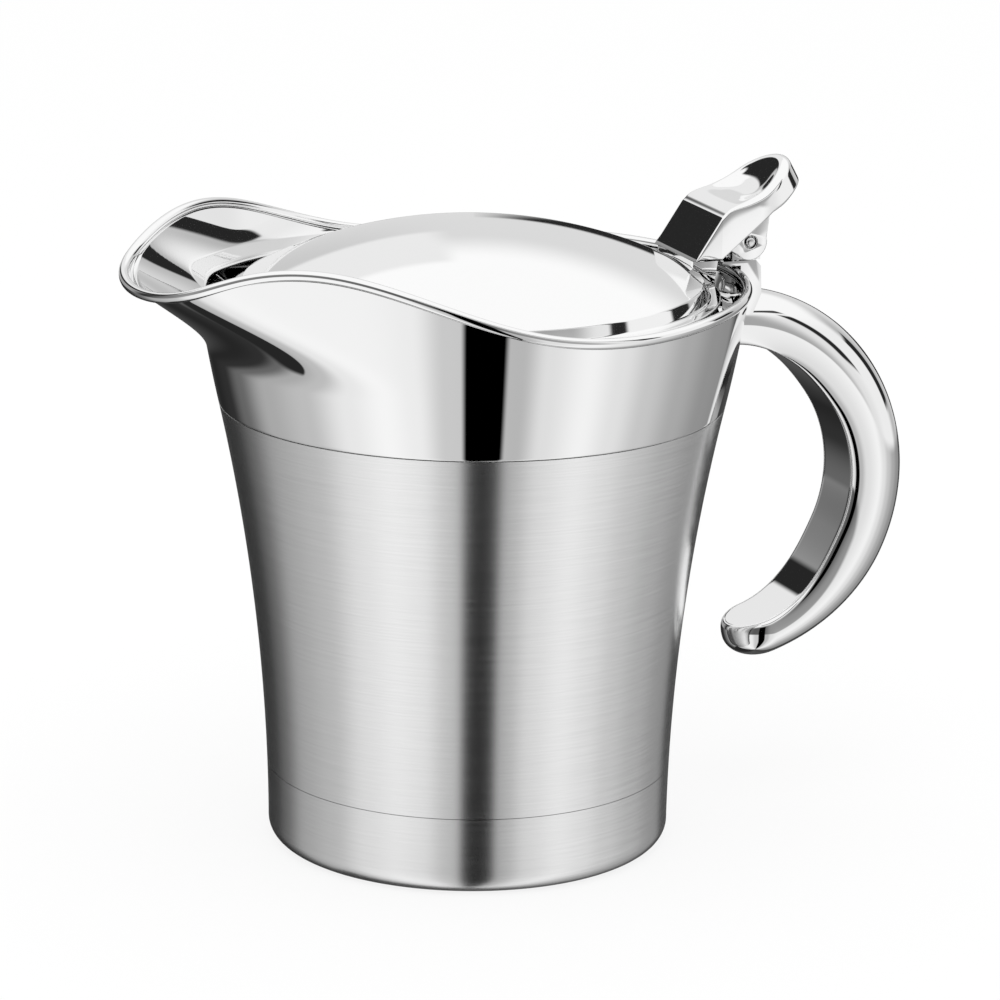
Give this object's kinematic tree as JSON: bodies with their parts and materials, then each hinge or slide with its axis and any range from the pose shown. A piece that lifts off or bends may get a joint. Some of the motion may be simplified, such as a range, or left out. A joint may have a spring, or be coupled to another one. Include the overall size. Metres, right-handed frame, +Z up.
{
  "type": "insulated gravy boat",
  "caption": "Double-walled stainless gravy boat with a flared body, a drawn spout, a C-shaped handle and a domed lid on a hinge, opened by a thumb lever.",
  "frame": {"origin": "centre of the flat underside of the base cup", "axes": "+Z up along the body's axis, +X towards the handle, -X towards the spout; symmetrical across Y = 0"},
  "size_m": [0.178, 0.1182, 0.1454],
  "materials": {
    "brushed_steel": "fine circumferential brushing",
    "polished_steel": "mirror polished stainless steel",
    "inner_steel": "satin drawn stainless steel",
    "lid_steel": "bright polished stainless steel",
    "handle_steel": "mirror polished stainless steel",
    "cast_steel": "polished cast stainless steel",
    "pin_steel": "plain stainless steel pin"
  },
  "bodies": {
    "boat": {"base_cup": "brushed_steel", "outer_shell": "brushed_steel", "spout_collar": "polished_steel", "inner_vessel": "inner_steel", "spout_liner": "inner_steel", "rim_band": "polished_steel", "handle_back": "handle_steel", "handle_face": "handle_steel", "hinge_block": "cast_steel", "hinge_pin": "pin_steel"},
    "lid_assembly": {"lid": "lid_steel", "lid_bracket": "cast_steel", "thumb_lever": "cast_steel"}
  },
  "joints": [
    {"name": "lid_hinge", "type": "hinge", "parent": "boat", "child": "lid_assembly", "pos_m": [0.0603, 0, 0.1285], "axis": [0, 1, 0], "range_deg": [0, 78]}
  ]
}
